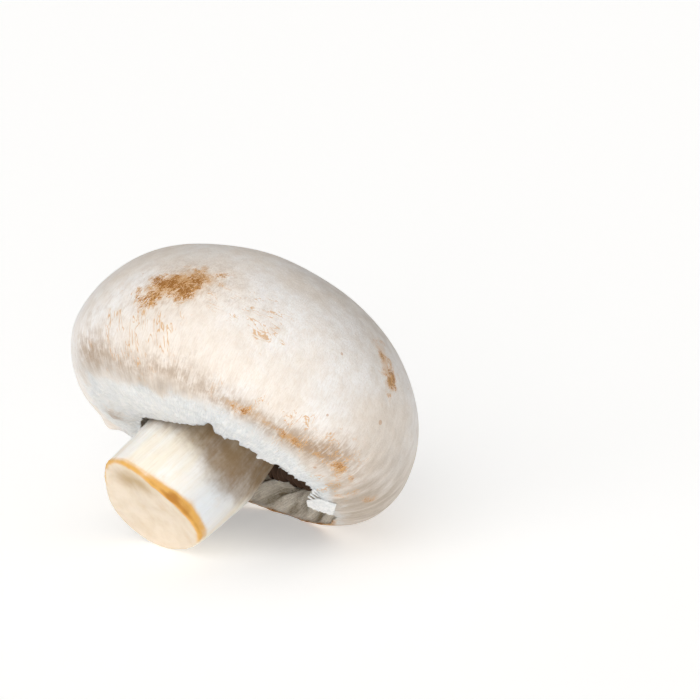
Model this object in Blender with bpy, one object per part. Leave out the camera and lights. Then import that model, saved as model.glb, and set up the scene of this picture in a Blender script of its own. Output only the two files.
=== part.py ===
"""A closed-cup button mushroom, as picked, lying on its side: cap, gills and stem.

The cap is worked out in its own frame and then laid down. In that frame A runs up
through the crown, U points to the side the cap lies on, V is level, and zero is the
middle of the cap's widest circle. Sizes are in millimetres, angles in degrees.
"""
import bpy
import numpy as np

MM = 0.001

# How the mushroom lies: the cap's axis leans forward from upright, towards +X
AXIS_LEAN = 39.7
CAP_CENTRE = (-1.08, 0.0, 20.6)
TABLE = 0.0

# Cap: a dome above the widest circle and a rolled lip below it
CAP_RADIUS = 27.46
DOME_HEIGHT = 21.29
DOME_POWER = 2.057
LIP_RADIUS = 16.1
LIP_DROP = 10.55
NEAR_SIDE = -136.0
NEAR_LIFT = 0.65

# Veil: a thin skin that closes the lip in towards the stem and is torn open round it
VEIL_OPENING = 17.4
OPENING_SHIFT = 4.3
OPENING_SIDE = -29.0
OPENING_OVAL = 1.1
OVAL_SIDE = 44.0
VEIL_CURL = 0.015
VEIL_THICKNESS = 1.3
TEARS = (  # where, half width, how far the veil is torn back
    (-142.0, 6.0, 3.2),
    (-124.0, 4.5, 1.6),
    (-84.0, 6.0, 1.0),
    (12.0, 9.0, 1.0),
    (68.0, 7.0, 1.2),
    (106.0, 6.0, 1.0),
)
FRAYS = ((9, 0.35, 20.0), (14, 0.3, 75.0), (23, 0.28, 140.0))  # waves round, size, turn

# Hollow under the cap, between the flesh and the veil
HOLLOW_RADIUS = 23.3
HOLLOW_MIDDLE = -3.0
HOLLOW_HEIGHT = 9.5
HOLLOW_POWER = 2.6
PLEATS = 18
PLEAT_DEPTH = 0.35

# Gills: a ring of blades under the flesh, every second one short
GILL_PAIRS = 40
GILL_ROOM = 0.6  # clearance above the plate, which has fewer faces than the flesh
GILL_PLATE = 0.8
GILL_THICKNESS = 0.66
GILL_TAPER = 0.24
GILL_EDGE = (  # radius, height of the blades' lower edge
    (10.4, 3.6), (11.6, 0.2), (13.2, -2.0), (15.4, -3.5), (18.0, -4.4), (20.4, -4.6), (22.3, -4.1),
)
SHORT_FROM = 15.6

# Stem: a bent round stalk from inside the flesh to an oblique cut
STEM_TOP = 5.75
STEM_LENGTH = 21.3
STEM_LEAN = (-4.6, 1.9)  # how far the cut end is off the cap's axis, along U and V
STEM_BEND = (1.4, 2.5)  # powers of the length by which it leans
STEM_WIDTHS = (  # height below the widest circle, radius
    (-5.75, 9.4), (0.0, 9.25), (6.0, 9.35), (12.0, 9.45), (17.0, 9.3), (21.3, 8.95),
)
STEM_LOBES = ((2, 0.018, 63.0), (3, 0.079, 47.0), (4, 0.027, -2.0))  # lobes, size, turn at the cut
STEM_BULGE = (12.5, 3.5, -20.0, 35.0, 0.55)  # middle and half length, side and half width, height
CUT_NORMAL = (-0.328, -0.02, -0.944)
CUT_ROUND = 0.6
CUT_HOLLOW = 0.35
CUT_DENTS = ((-3.6, 3.4, 2.6, 0.7), (2.5, -3.0, 4.0, 0.25))  # along the cut, width, depth

# Where the rows of points lie: turns and bends in degrees, shares of the way
CAP_COLUMNS = 72
DOME_TURNS = np.linspace(7.0, 90.0, 13)
LIP_SHARES = (0.14, 0.28, 0.42, 0.56, 0.7, 0.82, 0.92, 1.0)
HOLLOW_BENDS = (90.0, 72.0, 54.0, 36.0, 18.0, 0.0)
CEILING_TURNS = (76.0, 62.0, 46.0, 30.0, 15.0)
PLATE_RADII = (22.3, 19.6, 15.4, 10.4)
STEM_COLUMNS = 44
STEM_ROWS = 13
ROUND_BENDS = (30.0, 60.0, 90.0)
CUT_SHARES = (0.8, 0.6, 0.4, 0.2)

lean = np.radians(AXIS_LEAN)
AXIS_A = np.array((np.sin(lean), 0.0, np.cos(lean)))
AXIS_U = np.array((np.cos(lean), 0.0, -np.sin(lean)))
AXIS_V = np.array((0.0, 1.0, 0.0))


def lay_down(u, v, a):
    """Turn places in the cap's frame into places on the table; nothing sinks below it."""
    u, v, a = np.broadcast_arrays(u, v, a)
    places = np.array(CAP_CENTRE) + u[..., None] * AXIS_U + v[..., None] * AXIS_V + a[..., None] * AXIS_A
    places[..., 2] = np.maximum(places[..., 2], TABLE)
    return places * MM


def angle_from(angles, where):
    """Signed angle from a direction, in degrees, between -180 and 180."""
    return (np.degrees(angles) - where + 180.0) % 360.0 - 180.0


def veil_edge(angles):
    """Radius of the veil's torn edge: an off-centre oval, torn back and frayed."""
    shift = OPENING_SHIFT * np.cos(np.radians(angle_from(angles, OPENING_SIDE)))
    oval = OPENING_OVAL * np.cos(2.0 * np.radians(angle_from(angles, OVAL_SIDE)))
    edge = VEIL_OPENING + shift + oval
    for where, half_width, depth in TEARS:
        edge = edge + depth * np.exp(-((angle_from(angles, where) / half_width) ** 2))
    for waves, size, turn in FRAYS:
        edge = edge + size * np.sin(waves * angles + np.radians(turn))
    return edge


def lip_drop(angles):
    """How far the lip hangs below the widest circle, a little less on one side."""
    side = (1.0 + np.cos(np.radians(angle_from(angles, NEAR_SIDE)))) / 2.0
    return LIP_DROP - NEAR_LIFT * side**2


def lip_point(share, angles):
    """A point of the lip's outside, from the widest circle (0) to the veil's edge (1).

    The lip is a quarter ellipse; past its lowest point the veil runs on inwards and curls up.
    """
    roll = CAP_RADIUS - LIP_RADIUS
    edge = veil_edge(angles)
    drop = lip_drop(angles)
    inside = edge < LIP_RADIUS
    rolled = 2.0 / np.pi * np.arccos(np.clip((edge - LIP_RADIUS) / roll, 0.0, 1.0))
    reach = np.where(inside, 1.0 + (LIP_RADIUS - edge) / (roll * np.pi / 2.0), rolled)
    along = share * reach
    bend = np.minimum(along, 1.0) * np.pi / 2.0
    beyond = np.maximum(along - 1.0, 0.0) * roll * np.pi / 2.0
    radius = LIP_RADIUS + roll * np.cos(bend) - beyond
    height = -drop * np.sin(bend) + VEIL_CURL * beyond**2
    return radius, height


def cap_profile(angles):
    """Rows of radius and height from the crown, over the lip and back in to the ceiling."""
    rows = []
    for turn in np.radians(DOME_TURNS):
        radius = CAP_RADIUS * np.sin(turn) ** (2.0 / DOME_POWER)
        height = DOME_HEIGHT * max(np.cos(turn), 0.0) ** (2.0 / DOME_POWER)
        rows.append((radius, height))
    for share in LIP_SHARES:
        rows.append(lip_point(share, angles))
    edge, low = lip_point(1.0, angles)
    rows.append((edge - 0.3 * VEIL_THICKNESS, low + 0.5 * VEIL_THICKNESS))
    for bend in np.radians(HOLLOW_BENDS):
        radius = edge + (HOLLOW_RADIUS - edge) * np.cos(bend)
        height = HOLLOW_MIDDLE + (low + VEIL_THICKNESS - HOLLOW_MIDDLE) * np.sin(bend)
        pleat = PLEAT_DEPTH * np.sin(2.0 * bend) * np.sin(PLEATS * angles)
        rows.append((radius - pleat, height))
    rows.extend(ceiling(turn) for turn in np.radians(CEILING_TURNS))
    return rows


def ceiling(turn):
    """A point of the flesh above the gills: a flattened quarter ellipse."""
    radius = HOLLOW_RADIUS * np.sin(turn) ** (2.0 / HOLLOW_POWER)
    height = HOLLOW_MIDDLE + HOLLOW_HEIGHT * np.cos(turn) ** (2.0 / HOLLOW_POWER)
    return radius, height


def ceiling_height(radius):
    """Height of the flesh above the gills at a radius."""
    turn = np.arcsin((radius / HOLLOW_RADIUS) ** (HOLLOW_POWER / 2.0))
    return ceiling(turn)[1]


def strips(first, count, columns):
    """Faces between rings of points that follow each other."""
    faces = []
    for ring in range(count - 1):
        upper = first + ring * columns
        lower = upper + columns
        for column in range(columns):
            after = (column + 1) % columns
            faces.append((upper + column, lower + column, lower + after, upper + after))
    return faces


def closed_by_poles(name, rings, start, end, material):
    """A closed body from rings of points between two end points."""
    count, columns = rings.shape[:2]
    points = np.vstack((start, rings.reshape(-1, 3), end))
    last = 1 + (count - 1) * columns
    faces = strips(1, count, columns)
    for column in range(columns):
        after = (column + 1) % columns
        faces.append((0, 1 + column, 1 + after))
        faces.append((last + column, len(points) - 1, last + after))
    return add_piece(name, points, faces, material)


def closed_ring(name, rings, material):
    """A closed ring-shaped body whose last ring of points joins its first."""
    count, columns = rings.shape[:2]
    points = rings.reshape(-1, 3)
    faces = strips(0, count, columns)
    last = (count - 1) * columns
    for column in range(columns):
        after = (column + 1) % columns
        faces.append((last + column, column, after, last + after))
    return add_piece(name, points, faces, material)


def add_piece(name, points, faces, material):
    """Put one closed mesh into the scene as a smooth shaded object."""
    mesh = bpy.data.meshes.new(name)
    mesh.from_pydata(points.tolist(), [], faces)
    mesh.validate()
    mesh.shade_smooth()
    mesh.set_sharp_from_angle(angle=np.radians(40.0))
    mesh.materials.append(material)
    piece = bpy.data.objects.new(name, mesh)
    bpy.context.scene.collection.objects.link(piece)
    return piece


def new_material(name, colour, roughness):
    """A plain coat of one colour."""
    material = bpy.data.materials.new(name)
    material.use_nodes = True
    shader = material.node_tree.nodes["Principled BSDF"]
    shader.inputs["Base Color"].default_value = (*colour, 1.0)
    shader.inputs["Roughness"].default_value = roughness
    shader.inputs["Metallic"].default_value = 0.0
    return material


def build_cap():
    """The white cap: dome, rolled lip, torn veil and the hollow under the flesh."""
    angles = np.linspace(0.0, 2.0 * np.pi, CAP_COLUMNS, endpoint=False)
    rings = np.array([
        lay_down(radius * np.cos(angles), radius * np.sin(angles), height)
        for radius, height in cap_profile(angles)
    ])
    crown = lay_down(0.0, 0.0, DOME_HEIGHT)
    under = lay_down(0.0, 0.0, HOLLOW_MIDDLE + HOLLOW_HEIGHT)
    skin = new_material("cap skin", (0.86, 0.78, 0.69), 0.5)
    return closed_by_poles("cap", rings, crown, under, skin)


def gill_columns():
    """Across one pair of blades: share of the pitch, offset, and 0 root, 1 long or 2 short blade."""
    foot = GILL_THICKNESS / 2.0
    root = foot + GILL_TAPER
    columns = []
    for place, blade in ((0.0, 1), (0.5, 2)):
        columns += [(place, -root, 0), (place, -foot, blade), (place, foot, blade), (place, root, 0)]
    return np.array(columns)


def gill_ring(radius, heights):
    """A ring of points through the blades at one radius; heights are those across one pair."""
    pitch = 2.0 * np.pi / GILL_PAIRS
    place, offset, _ = gill_columns().T
    angles = (np.arange(GILL_PAIRS)[:, None] * pitch + place * pitch + offset / radius).ravel()
    heights = np.tile(heights, GILL_PAIRS)
    return lay_down(radius * np.cos(angles), radius * np.sin(angles), heights)


def build_gills():
    """The brown gills: blades hanging from a thin plate, one ring-shaped body."""
    blade = gill_columns()[:, 2]
    rings = []
    for radius, edge in GILL_EDGE[::-1]:
        floor = ceiling_height(radius) - GILL_ROOM - GILL_PLATE
        hangs = (blade == 1) | ((blade == 2) & (radius > SHORT_FROM))
        rings.append(gill_ring(radius, np.where(hangs, edge, floor)))
    for radius in PLATE_RADII[::-1]:
        rings.append(gill_ring(radius, np.full(len(blade), ceiling_height(radius) - GILL_ROOM)))
    brown = new_material("gills", (0.19, 0.12, 0.08), 0.8)
    return closed_ring("gills", np.array(rings), brown)


def stem_centre(below):
    """Middle of the stem at a depth below the widest circle: it bends away from the axis."""
    share = max(below, 0.0) / STEM_LENGTH
    return np.array((STEM_LEAN[0] * share ** STEM_BEND[0], STEM_LEAN[1] * share ** STEM_BEND[1], -below))


def across(normal):
    """Two directions across a normal, the first as near to U as it can be."""
    normal = np.array(normal) / np.linalg.norm(normal)
    first = np.array((1.0, 0.0, 0.0)) - normal[0] * normal
    first /= np.linalg.norm(first)
    return first, np.cross(first, normal)


def stem_outline(below, angles):
    """Radius of the stem round one ring: round at the top, softly lobed towards the cut."""
    share = max(below, 0.0) / STEM_LENGTH
    radius = np.interp(below, *np.array(STEM_WIDTHS).T)
    for lobes, size, turn in STEM_LOBES:
        radius = radius * (1.0 + size * share**2 * np.cos(lobes * (angles - np.radians(turn))))
    middle, half_length, side, half_width, height = STEM_BULGE
    away = ((below - middle) / half_length) ** 2 + (angle_from(angles, side) / half_width) ** 2
    return radius + height * np.exp(-away)


def stem_ring(centre, normal, radius, angles, depth=0.0):
    """A ring of points round the stem, in the cap's frame, pushed in by a depth."""
    first, second = across(normal)
    normal = np.array(normal) / np.linalg.norm(normal)
    radius = np.reshape(radius, (-1, 1))
    sides = radius * (np.cos(angles)[:, None] * first + np.sin(angles)[:, None] * second)
    return centre + sides - np.reshape(depth, (-1, 1)) * normal


def cut_depth(radius, angles):
    """How deep the cut face dips: slightly hollow, with two soft dents."""
    depth = CUT_HOLLOW * (1.0 - (radius / STEM_WIDTHS[-1][1]) ** 2)
    for along, aside, width, deep in CUT_DENTS:
        away = (radius * np.cos(angles) - along) ** 2 + (radius * np.sin(angles) - aside) ** 2
        depth = depth + deep * np.exp(-away / width**2)
    return depth


def build_stem():
    """The cream stem, with its cut end."""
    angles = np.linspace(0.0, 2.0 * np.pi, STEM_COLUMNS, endpoint=False)
    top, end = stem_centre(-STEM_TOP), stem_centre(STEM_LENGTH)
    top_width, rim = stem_outline(-STEM_TOP, angles), stem_outline(STEM_LENGTH, angles)
    upright = np.array((0.0, 0.0, -1.0))
    rings = [stem_ring(top, upright, share * top_width, angles) for share in (0.5, 0.95)]
    for below in np.linspace(0.5 - STEM_TOP, STEM_LENGTH - 2.0 * CUT_ROUND, STEM_ROWS):
        share = max(below, 0.0) / STEM_LENGTH
        normal = (1.0 - share**2) * upright + share**2 * np.array(CUT_NORMAL)
        rings.append(stem_ring(stem_centre(below), normal, stem_outline(below, angles), angles))
    for bend in np.radians(ROUND_BENDS):
        radius = rim - CUT_ROUND * (1.0 - np.cos(bend))
        rings.append(stem_ring(end, CUT_NORMAL, radius, angles, CUT_ROUND * (1.0 - np.sin(bend))))
    for share in CUT_SHARES:
        rings.append(stem_ring(end, CUT_NORMAL, share * rim, angles, cut_depth(share * rim, angles)))
    centre = stem_ring(end, CUT_NORMAL, 0.0, angles[:1], cut_depth(0.0, angles[:1]))[0]
    cream = new_material("stem", (0.84, 0.75, 0.62), 0.65)
    rings = lay_down(*np.moveaxis(np.array(rings), -1, 0))
    return closed_by_poles("stem", rings, lay_down(*top), lay_down(*centre), cream)


for old in list(bpy.data.objects):
    bpy.data.objects.remove(old)

build_cap()
build_gills()
build_stem()
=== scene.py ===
"""A closed-cup button mushroom, as picked, lying on its side: its finished surfaces.

Each surface is worked out in the cap's own frame and then laid down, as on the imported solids.
In that frame A runs up through the crown, U points to the side the cap lies on, V is level,
and zero is the middle of the cap's widest circle. Sizes are in millimetres, angles in degrees.
A place on the cap's outside is a side (round the axis) and a turn (0 at the crown, 90 at the
widest circle, 180 at the lowest line of the lip).
"""

import bpy
import numpy as np
from bpy.props import FloatProperty, FloatVectorProperty, IntProperty, PointerProperty
from mathutils import Matrix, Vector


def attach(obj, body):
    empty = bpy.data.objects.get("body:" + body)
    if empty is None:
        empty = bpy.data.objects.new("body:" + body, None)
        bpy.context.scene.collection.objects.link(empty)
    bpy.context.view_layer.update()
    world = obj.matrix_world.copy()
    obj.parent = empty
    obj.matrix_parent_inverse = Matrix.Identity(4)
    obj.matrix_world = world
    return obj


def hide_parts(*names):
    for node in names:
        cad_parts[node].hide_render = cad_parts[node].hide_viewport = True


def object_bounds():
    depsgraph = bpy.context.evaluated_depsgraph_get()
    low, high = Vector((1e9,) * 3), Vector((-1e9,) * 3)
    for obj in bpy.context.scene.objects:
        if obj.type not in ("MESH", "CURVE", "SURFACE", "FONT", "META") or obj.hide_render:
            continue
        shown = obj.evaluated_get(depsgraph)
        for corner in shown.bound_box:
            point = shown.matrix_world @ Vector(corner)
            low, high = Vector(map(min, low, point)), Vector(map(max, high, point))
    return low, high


bl_info = {
    "name": "Button mushroom",
    "version": (1, 0, 0),
    "blender": (4, 5, 0),
    "location": "View3D > Sidebar > Mushroom",
    "description": "A closed-cup button mushroom with torn veil, gills and cut stem",
    "category": "Object",
}

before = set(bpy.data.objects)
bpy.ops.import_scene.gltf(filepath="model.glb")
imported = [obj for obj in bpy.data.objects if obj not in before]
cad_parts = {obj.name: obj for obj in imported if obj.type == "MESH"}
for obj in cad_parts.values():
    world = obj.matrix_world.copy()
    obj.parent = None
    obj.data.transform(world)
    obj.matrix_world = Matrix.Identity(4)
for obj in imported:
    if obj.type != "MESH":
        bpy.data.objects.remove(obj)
CAD_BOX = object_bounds()

MM = 0.001
CIRCLE = 2.0 * np.pi

# How the mushroom lies
AXIS_LEAN = 39.7
CAP_CENTRE = (-1.08, 0.0, 20.6)

# Cap: a dome above the widest circle and a rolled lip below it
CAP_RADIUS = 27.46
DOME_HEIGHT = 21.29
DOME_POWER = 2.057
LIP_RADIUS = 16.1
LIP_DROP = 10.55
NEAR_SIDE = -136.0
NEAR_LIFT = 0.65
SKIN_SLACK = 0.16  # the skin is drawn in by this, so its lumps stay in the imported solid's box

# Veil: a thin skin that closes the lip in and is torn open round the stem
VEIL_OPENING = 17.4
OPENING_SHIFT = 4.3
OPENING_SIDE = -29.0
OPENING_OVAL = 1.1
OVAL_SIDE = 44.0
VEIL_CURL = 0.015
VEIL_ROOT = 1.3
TEARS = (  # where, half width before and after, how far the veil is torn back
    (-84.0, 7.0, 4.0, 1.0),
    (12.0, 12.0, 10.0, 0.4),
    (68.0, 7.0, 4.0, 1.2),
)
TORN_SIDE = (  # the torn edge on the side that the photograph shows: side, radius
    (96.0, 14.2), (104.0, 12.7), (115.0, 11.8), (127.0, 11.5), (147.0, 11.9), (158.0, 12.4), (168.0, 12.1),
    (178.0, 11.8), (195.0, 12.6), (210.0, 15.8), (216.0, 18.2), (217.7, 19.3), (219.2, 19.4), (220.3, 18.9),
    (221.2, 17.3), (227.0, 17.0), (232.5, 18.9), (234.5, 17.9), (238.0, 18.5), (245.5, 17.5), (252.0, 18.7),
    (256.5, 18.8), (260.8, 18.7), (264.5, 19.2), (269.2, 19.8), (273.7, 19.5), (279.6, 19.5), (283.0, 19.7),
    (292.0, 20.1),
)
FRAYS = ((9, 0.35, 20.0), (14, 0.3, 75.0), (23, 0.28, 140.0))  # waves round, size, turn
CALM = (0.0, 62.0, 0.75)  # side and half width where these waves are lower, by this share
TEETH = ((31, 0.5), (67, 1.0), (103, 0.8), (151, 0.5))  # fine teeth round the torn edge, share
TOOTH_SLANT = 0.9  # 0 gives even waves, 1 gives saw teeth
FRAYED = (-106.0, 42.0, 0.15)  # side and half width where the teeth are long, share elsewhere

# Torn flap at the right end of the opening: side and radius of its upper and lower corners
FLAP_UPPER = ((-72.4, 17.1), (-77.2, 19.4), (-71.4, 21.4))
FLAP_LOWER = ((-62.1, 16.4), (-60.5, 17.7), (-57.4, 20.0))
FLAP_BENDS = (0.0, 0.36, 1.0)  # where these corners lie along it
FLAP_OUT = (-0.70, -0.67, -0.24)
FLAP_LIFT = 1.0
FLAP_THICKNESS = (0.22, 0.14)  # at its upper and lower border
FLAP_FIBRES = 0.3  # its threads are coarser than the veil's
FLAP_COLUMNS = 60
FLAP_ROWS = 24
STRANDS = (  # torn strands beside the flap: side and radius of both ends
    (-77.7, 17.8, -73.2, 18.4),
    (-81.4, 18.7, -76.3, 19.1),
    (-84.2, 19.5, -79.2, 19.6),
    (-85.9, 20.1, -81.4, 20.1),
)
STRAND_WIDTH = 0.3
STRAND_THICKNESS = 0.16
STRAND_BOW = 0.3

# Hollow under the cap
HOLLOW_RADIUS = 23.3
HOLLOW_MIDDLE = -3.0
HOLLOW_HEIGHT = 9.5
HOLLOW_POWER = 2.6
PLEATS = 18
PLEAT_DEPTH = 0.35
FOLDED = (20.0, 75.0, 0.25)  # side and half width where the lining is most folded, share elsewhere
FOLDS = ((7.0, 4.5, 1.6, 3.0), (12.0, 3.0, 2.0, 4.0))  # folds round, slant, sway, sways round
SECOND_FOLD = 0.7  # height of the second folds, as a share of the first
LINING_PUFF = 1.5  # how far the torn lining stands away from the flesh there
LINING_TWIST = 1.2  # how much its fibres slant
# The pale crests and the grey-brown between the folds are a painted light and shade of the folds
CREST_START = 0.21  # height of the summed folds where their colour starts to pale
CREST_RISE = 1.4  # and over which it turns fully pale
FRINGE = (10.0, 54.0, 0.7)  # where the edge dried brown: side, half width, breadth
FRINGE_STRENGTH = 1.3

# Unevenness of the cap: heights, and sizes from crest to crest
LUMP_SIZE = 15.0
RIDGE_HEIGHT = 0.035  # ridges down the lip, 2 mm wide and 9 mm long
RIDGE_SIZE = 2.0
FLUFF_HEIGHT = 0.05
FLUFF_SIZE = 1.1
TUFT_HEIGHT = 0.08
TUFT_SIZE = 4.5
THREAD_HEIGHT = 0.09  # threads along the veil, 1.7 mm wide and 7 mm long
THREAD_SIZE = 1.7
LINING_HEIGHT = 0.05

# Gills
GILL_ROOM = 0.6
GILL_PLATE = 0.8
GILL_EDGE = (  # radius, height of the blades' lower edge
    (10.4, 3.6), (11.6, 0.2), (13.2, -2.0), (15.4, -3.5), (18.0, -4.4), (20.4, -4.6), (22.3, -4.1),
)
BLADE_STARTS = (10.4, 19.0, 15.2, 20.2)  # inner radius of the four blades of one group
BLADE_RISE = 2.4  # length over which a short blade grows to full height
PLATE_RADII = (22.3, 19.6, 15.4, 10.4)

# Stem: a bent round stalk from inside the flesh to an oblique cut
STEM_TOP = 5.75
STEM_LENGTH = 21.3
STEM_LEAN = (-4.6, 1.9)
STEM_BEND = (1.4, 2.5)
STEM_WIDTHS = (  # depth below the widest circle, radius
    (-5.75, 9.4), (0.0, 9.25), (6.0, 9.35), (12.0, 9.45), (17.0, 9.3), (21.3, 8.95),
)
STEM_LOBES = ((2, 0.018, 63.0), (3, 0.079, 47.0), (4, 0.027, -2.0))  # lobes, size, turn
STEM_BULGE = (12.5, 3.5, -20.0, 35.0, 0.55)  # middle, half length, side, half width, height
CUT_NORMAL = (-0.328, -0.02, -0.944)
CUT_ROUND = 0.6
CUT_HOLLOW = 0.35
CUT_DENTS = ((-3.6, 3.4, 2.6, 0.7), (2.5, -3.0, 4.0, 0.25))  # along the cut, width, depth
CUT_GRAIN = 0.04

# Where the stem's colours lie: side and half width in degrees, then lengths
TUBE_RADIUS = 9.3  # the fibres run on a tube of this radius
CUT_FIBRES = 9.0  # and this much further in over the cut
GOLD_SIDE = 208.0  # the rim of the cut is gold on this half
RUST = (246.0, 32.0)
RIM_LINE = (0.5, 0.4, 0.5, 0.32)  # strength of the rim's line, more at the rust, breadth, more there
RIM_FADE = (0.16, 0.22, 1.2)  # strength of what fades from it, more at the rust, length
SHADE_SIDE = 240.0  # the stem is brown under the veil on this half, partly painted shade of the veil and partly brown discolouration
SHADE_REACH = (262.0, 38.0, 10.5, 4.5)  # then how far down the brown reaches, further there
COOL = (262.0, 24.0, 10.0, 14.0)  # then how far down the bluish white, a painted cool shade on that flank, starts and is full
DENT_SHADE = (174.0, 44.0, 6.0, 1.9, 0.85)  # then radius, breadth and strength of the painted shade by the cut's dent

# Rows and columns of points
CAP_COLUMNS = 600
DOME_ROWS = 62
LIP_ROWS = 50
NOSE_ROWS = 4
WALL_ROWS = 38
CEILING_ROWS = 8
GILL_ROWS = 26
STEM_COLUMNS = 300
STEM_ROWS = 150
TOP_RINGS = (0.5, 0.8, 0.95)
RIM_ROWS = 8
CUT_ROWS = 60

# Marks on the skin: side, turn, half length, half width, tilt of the length from level, strength
BRUISES = (
    (-173.0, 74.8, 4.6, 2.5, 40.0, 1.15),
    (-163.0, 67.8, 2.8, 1.8, 40.0, 0.55),
    (-165.0, 77.0, 3.4, 1.5, 10.0, 0.42),
    (-93.5, 57.0, 1.6, 3.4, 8.0, 0.75),
    (-88.5, 65.5, 1.3, 2.0, 0.0, 0.9),
    (-114.0, 132.5, 1.6, 0.7, -10.0, 0.75),
    (-104.0, 131.0, 1.6, 0.7, 0.0, 0.45),
    (-93.5, 128.0, 1.1, 0.55, 20.0, 0.7),
    (-124.0, 131.0, 3.4, 0.9, 0.0, 0.5),
    (-136.0, 131.0, 3.0, 0.9, 0.0, 0.5),
    (-84.0, 134.0, 3.0, 1.6, 0.0, 0.36),
    (-78.0, 148.0, 1.4, 0.9, 0.0, 0.42),
    (-66.0, 128.0, 2.0, 0.9, 30.0, 0.35),
    (28.0, 61.0, 4.2, 2.6, 30.0, 0.9),
    (70.0, 92.0, 1.6, 3.0, 0.0, 0.7),
)
SCRATCHES = (  # those that run down the cap
    (-178.0, 96.0, 5.6, 4.6, 0.0, 1.0),
    (-166.0, 92.0, 2.4, 2.2, 0.0, 0.5),
    (-90.0, 61.0, 2.2, 4.2, 0.0, 0.8),
    (-104.0, 126.0, 8.0, 3.4, 0.0, 0.6),
    (-130.0, 122.0, 6.0, 2.4, 0.0, 0.5),
    (176.0, 128.0, 7.0, 2.6, 0.0, 0.45),
    (-83.0, 144.0, 4.0, 3.0, 0.0, 0.5),
    (95.0, 96.0, 4.0, 3.4, 0.0, 0.8),
)
SCRAPES = (  # those that run round it
    (-141.0, 73.0, 4.6, 3.0, -14.0, 1.0),
    (-137.0, 78.5, 2.4, 2.0, -14.0, 0.8),
    (-160.0, 74.0, 3.0, 3.0, 0.0, 0.8),
    (-170.0, 66.0, 4.0, 1.6, 20.0, 0.6),
    (-3.0, 48.0, 5.0, 2.4, 15.0, 0.9),
)
STAINS = (
    (-176.0, 134.0, 7.0, 2.4, 0.0, 0.65),
    (158.0, 130.0, 5.0, 2.4, 0.0, 0.6),
    (-150.0, 132.0, 8.0, 2.2, -6.0, 0.5),
    (-127.0, 133.0, 8.0, 2.2, -2.0, 0.62),
    (-110.0, 132.0, 5.0, 2.2, 4.0, 0.65),
    (-98.0, 121.0, 4.4, 3.6, 0.0, 0.6),
    (-88.0, 124.0, 6.0, 3.0, 0.0, 0.35),
    (-74.0, 120.0, 6.0, 4.0, 6.0, 0.15),
    (-158.0, 108.0, 6.0, 4.0, 0.0, 0.2),
    (162.0, 112.0, 7.0, 7.0, 0.0, 0.35),
    (-171.0, 75.0, 8.0, 5.0, 35.0, 0.55),
    (-172.0, 62.0, 12.0, 5.0, 10.0, 0.2),
    (-141.0, 73.0, 7.0, 4.0, -14.0, 0.25),
    (131.0, 183.0, 3.2, 2.2, 20.0, 0.8),
    (40.0, 134.0, 9.0, 2.6, 0.0, 0.55),
    (80.0, 128.0, 8.0, 2.6, 0.0, 0.4),
    (28.0, 60.0, 8.0, 5.0, 20.0, 0.4),
)
# Grey marks: partly greyer skin, partly painted shade on the crown, the lower right of the lip and the
# veil's right part
GREY_SKIN_AND_PAINTED_SHADE = (
    (160.0, 140.0, 7.0, 2.4, 0.0, 1.15),
    (-170.0, 145.0, 7.0, 2.0, 0.0, 1.2),
    (148.0, 152.0, 3.0, 3.4, 0.0, 0.7),
    (-66.0, 32.0, 16.0, 9.0, 0.0, 0.6),
    (-10.0, 36.0, 18.0, 12.0, 0.0, 0.25),
    (120.0, 45.0, 14.0, 10.0, 0.0, 0.5),
    (-78.0, 98.0, 8.0, 6.0, 0.0, 0.3),
    (-62.0, 138.0, 13.0, 8.0, 0.0, 1.4),
    (-82.0, 146.0, 5.0, 3.0, 0.0, 0.6),
    (-138.0, 160.0, 8.0, 4.0, 0.0, 0.6),
    (-112.0, 156.0, 7.0, 4.0, 0.0, 0.4),
    (-124.0, 134.0, 12.0, 2.0, -2.0, 0.4),
    (-40.0, 112.0, 12.0, 9.0, 0.0, 0.7),
)
LUMPS = (  # the last value is a height in millimetres
    (99.0, 162.0, 1.7, 1.4, 0.0, 0.8),
    (131.0, 183.0, 2.6, 1.6, 20.0, 0.5),
    (150.0, 174.0, 4.5, 1.0, 25.0, -0.35),
    (86.0, 168.0, 2.0, 1.6, 0.0, -0.4),
    (-155.0, 165.0, 7.0, 2.0, 0.0, -0.12),
)
VEIL_BORDER = (  # side, turn where the skin ends and the cottony veil begins
    (-180.0, 155.0), (-164.0, 148.0), (-153.0, 145.0), (-143.0, 142.0), (-134.0, 140.0), (-125.0, 138.0),
    (-115.0, 138.0), (-104.0, 145.0), (-92.0, 150.0), (-82.0, 153.0), (-72.0, 156.0), (0.0, 154.0),
    (80.0, 158.0), (91.0, 171.0), (104.0, 172.0), (116.0, 166.0), (140.0, 151.0), (151.0, 147.0),
    (166.0, 156.0), (180.0, 155.0),
)

lean = np.radians(AXIS_LEAN)
AXIS_A = np.array((np.sin(lean), 0.0, np.cos(lean)))
AXIS_U = np.array((np.cos(lean), 0.0, -np.sin(lean)))
AXIS_V = np.array((0.0, 1.0, 0.0))

# Camera: its height and side, and what it looks at, worked out from the photograph
VIEW_HEIGHT = 15.0
VIEW_SIDE = 44.2
VIEW_DISTANCE = 450.0
VIEW_OFFSET = (16.1, 7.47)  # aim past the cap's centre, to the right and up
FOCAL_PIXELS = 3042.0
IMAGE_PIXELS = 700.0
SENSOR = 36.0
LIGHT_DISTANCE = 300.0

# Kinds of shader node. In a mix, socket 0 is the share, 6 and 7 are the two colours, and the colour
# comes out at 2. In a range, sockets 1 and 2 hold the old range and 3 and 4 the new one.
ATTRIBUTE = "ShaderNodeAttribute"
BUMP = "ShaderNodeBump"
COORDINATES = "ShaderNodeTexCoord"
MAPPING = "ShaderNodeMapping"
MATH = "ShaderNodeMath"
MIX = "ShaderNodeMix"
NOISE = "ShaderNodeTexNoise"
OUTPUT = "ShaderNodeOutputMaterial"
PRINCIPLED = "ShaderNodeBsdfPrincipled"
RANGE = "ShaderNodeMapRange"


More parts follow.
